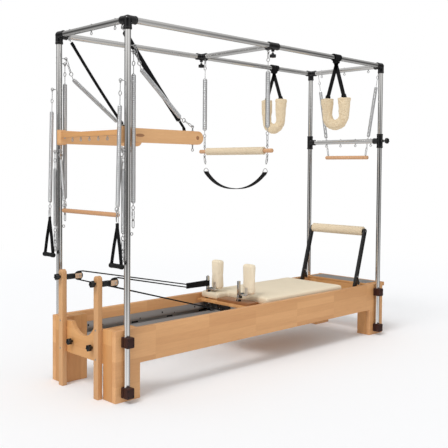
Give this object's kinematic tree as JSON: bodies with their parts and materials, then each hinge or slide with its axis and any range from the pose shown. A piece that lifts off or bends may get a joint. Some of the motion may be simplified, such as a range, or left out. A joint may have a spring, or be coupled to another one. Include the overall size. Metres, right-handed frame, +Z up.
{
  "type": "pilates trapeze table",
  "caption": "Wooden bed with a sliding padded carriage under a steel tube frame that carries springs, bars, straps and fleece loops.",
  "frame": {"origin": "middle of the table's box, on the floor", "axes": "+X along the bed to the footbar end, +Y to the far side, +Z up"},
  "size_m": [2.6888, 0.9162, 2.124],
  "materials": {
    "wood": "satin lacquered beech",
    "dowel": "satin",
    "steel_tube": "polished stainless",
    "spring_steel": "bright wire",
    "track_metal": "satin",
    "black_gloss": "glossy",
    "vinyl": "soft matte",
    "fleece": "woolly",
    "webbing": "woven",
    "wheel_plastic": "matte"
  },
  "bodies": {
    "frame": {"side_rail_near": "wood", "side_rail_far": "wood", "leg_head_near": "wood", "leg_head_far": "wood", "leg_foot_near": "wood", "leg_foot_far": "wood", "head_board": "wood", "standing_platform": "wood", "track_near": "track_metal", "track_far": "track_metal", "spring_bank": "spring_steel", "riser_near": "wood", "riser_far": "wood", "post_head_near": "steel_tube", "post_head_far": "steel_tube", "post_foot_near": "steel_tube", "post_foot_far": "steel_tube", "top_rail_near": "steel_tube", "top_rail_far": "steel_tube", "head_arch": "black_gloss", "foot_arch": "black_gloss", "push_strap_near": "webbing", "push_strap_far": "webbing", "push_spring_near": "spring_steel", "push_spring_far": "spring_steel", "rope_near": "webbing", "rope_far": "webbing"},
    "carriage": {"carriage_board": "wood", "carriage_pad": "vinyl", "shoulder_rest_near": "vinyl", "shoulder_rest_far": "vinyl"},
    "wheels_head": {"wheelset_head": "wheel_plastic"},
    "wheels_foot": {"wheelset_foot": "wheel_plastic"},
    "footbar": {"footbar_frame": "steel_tube", "footbar_pad": "vinyl"},
    "push_frame": {"push_frame": "wood"},
    "roll_down_bar": {"roll_down_bar": "dowel"},
    "end_bar": {"end_bar": "dowel"},
    "top_crossbar": {"top_crossbar": "steel_tube"},
    "trapeze": {"trapeze_spring_near": "spring_steel", "trapeze_spring_far": "spring_steel", "trapeze_bar": "vinyl"},
    "sling": {"trapeze_sling": "webbing"},
    "end_crossbar": {"end_crossbar": "steel_tube"},
    "end_knob": {"end_knob": "black_gloss"},
    "arm_spring_near": {"arm_spring_near": "spring_steel"},
    "short_spring_near": {"short_spring_near": "spring_steel"},
    "leg_spring_near": {"leg_spring_near": "spring_steel"},
    "fleece_loop_near": {"fleece_loop_near": "fleece"},
    "pulley_near": {"pulley_near": "wheel_plastic"},
    "riser_knob_near": {"riser_knob_near": "black_gloss"},
    "top_knob_near": {"top_knob_near": "black_gloss"},
    "arm_spring_far": {"arm_spring_far": "spring_steel"},
    "short_spring_far": {"short_spring_far": "spring_steel"},
    "leg_spring_far": {"leg_spring_far": "spring_steel"},
    "fleece_loop_far": {"fleece_loop_far": "fleece"},
    "pulley_far": {"pulley_far": "wheel_plastic"},
    "riser_knob_far": {"riser_knob_far": "black_gloss"},
    "top_knob_far": {"top_knob_far": "black_gloss"}
  },
  "joints": [
    {"name": "carriage_slide", "type": "slide", "parent": "frame", "child": "carriage", "axis": [1, 0, 0], "range_m": [-0.95, 0], "stiffness_N_per_m": 600, "springref_m": 0.05, "deforming": ["spring_bank", "rope_near", "rope_far"]},
    {"name": "wheels_head_spin", "type": "hinge", "parent": "carriage", "child": "wheels_head", "pos_m": [-0.02085, 0, 0.2843], "axis": [0, 1, 0], "continuous": true},
    {"name": "wheels_foot_spin", "type": "hinge", "parent": "carriage", "child": "wheels_foot", "pos_m": [0.73915, 0, 0.2843], "axis": [0, 1, 0], "continuous": true},
    {"name": "footbar_fold", "type": "hinge", "parent": "frame", "child": "footbar", "pos_m": [1.02415, 0, 0.368], "axis": [0, 1, 0], "range_deg": [-60, 0]},
    {"name": "push_frame_swing", "type": "hinge", "parent": "frame", "child": "push_frame", "pos_m": [-1.21685, 0, 1.478], "axis": [0, 1, 0], "range_deg": [-70, 0], "deforming": ["push_strap_near", "push_strap_far", "push_spring_near", "push_spring_far"]},
    {"name": "roll_down_bar_swing", "type": "hinge", "parent": "frame", "child": "roll_down_bar", "pos_m": [-1.22885, 0, 1.395], "axis": [0, 1, 0], "range_deg": [-60, 60]},
    {"name": "end_bar_swing", "type": "hinge", "parent": "frame", "child": "end_bar", "pos_m": [1.25915, 0, 2.09125], "axis": [0, 1, 0], "range_deg": [-70, 0]},
    {"name": "top_crossbar_slide", "type": "slide", "parent": "frame", "child": "top_crossbar", "axis": [1, 0, 0], "range_m": [-0.45, 0.45]},
    {"name": "trapeze_swing", "type": "hinge", "parent": "top_crossbar", "child": "trapeze", "pos_m": [-0.04085, 0, 2.0585], "axis": [0, 1, 0], "range_deg": [-35, 35]},
    {"name": "sling_swing", "type": "hinge", "parent": "trapeze", "child": "sling", "pos_m": [-0.04085, 0, 1.379], "axis": [0, 1, 0], "range_deg": [-40, 40]},
    {"name": "end_crossbar_slide", "type": "slide", "parent": "frame", "child": "end_crossbar", "axis": [0, 0, 1], "range_m": [-1, 0.3]},
    {"name": "end_knob_turn", "type": "hinge", "parent": "end_crossbar", "child": "end_knob", "pos_m": [1.21515, -0.4, 1.52], "axis": [0, 1, 0], "continuous": true},
    {"name": "arm_spring_near_swing", "type": "hinge", "parent": "frame", "child": "arm_spring_near", "pos_m": [-1.26485, -0.346, 1.76], "axis": [1, 0, 0], "range_deg": [-60, 15]},
    {"name": "short_spring_near_swing", "type": "hinge", "parent": "frame", "child": "short_spring_near", "pos_m": [-1.24685, -0.346, 1.385], "axis": [1, 0, 0], "range_deg": [-60, 5]},
    {"name": "leg_spring_near_swing", "type": "hinge", "parent": "frame", "child": "leg_spring_near", "pos_m": [-1.17685, -0.346, 1.922], "axis": [1, 0, 0], "range_deg": [-60, 0]},
    {"name": "fleece_loop_near_swing", "type": "hinge", "parent": "frame", "child": "fleece_loop_near", "pos_m": [0.64415, -0.346, 2.1], "axis": [1, 0, 0], "range_deg": [-45, 25]},
    {"name": "pulley_near_spin", "type": "hinge", "parent": "frame", "child": "pulley_near", "pos_m": [-1.18515, -0.182, 0.645], "axis": [0, 1, 0], "continuous": true},
    {"name": "riser_knob_near_turn", "type": "hinge", "parent": "frame", "child": "riser_knob_near", "pos_m": [-1.33085, -0.182, 0.651], "axis": [1, 0, 0], "continuous": true},
    {"name": "top_knob_near_turn", "type": "hinge", "parent": "top_crossbar", "child": "top_knob_near", "pos_m": [-0.04085, -0.346, 2.035], "axis": [0, 0, 1], "continuous": true},
    {"name": "arm_spring_far_swing", "type": "hinge", "parent": "frame", "child": "arm_spring_far", "pos_m": [-1.26485, 0.346, 1.76], "axis": [1, 0, 0], "range_deg": [-15, 60]},
    {"name": "short_spring_far_swing", "type": "hinge", "parent": "frame", "child": "short_spring_far", "pos_m": [-1.24685, 0.346, 1.385], "axis": [1, 0, 0], "range_deg": [-5, 60]},
    {"name": "leg_spring_far_swing", "type": "hinge", "parent": "frame", "child": "leg_spring_far", "pos_m": [-1.17685, 0.346, 1.922], "axis": [1, 0, 0], "range_deg": [0, 60]},
    {"name": "fleece_loop_far_swing", "type": "hinge", "parent": "frame", "child": "fleece_loop_far", "pos_m": [0.74915, 0.346, 2.1], "axis": [1, 0, 0], "range_deg": [-25, 45]},
    {"name": "pulley_far_spin", "type": "hinge", "parent": "frame", "child": "pulley_far", "pos_m": [-1.18515, 0.182, 0.645], "axis": [0, 1, 0], "continuous": true},
    {"name": "riser_knob_far_turn", "type": "hinge", "parent": "frame", "child": "riser_knob_far", "pos_m": [-1.33085, 0.182, 0.651], "axis": [1, 0, 0], "continuous": true},
    {"name": "top_knob_far_turn", "type": "hinge", "parent": "top_crossbar", "child": "top_knob_far", "pos_m": [-0.04085, 0.346, 2.035], "axis": [0, 0, 1], "continuous": true}
  ],
  "couplings": [
    {"joint": "wheels_head_spin", "follows": "carriage_slide", "rad_per_m": 33.333},
    {"joint": "wheels_foot_spin", "follows": "carriage_slide", "rad_per_m": 33.333}
  ]
}
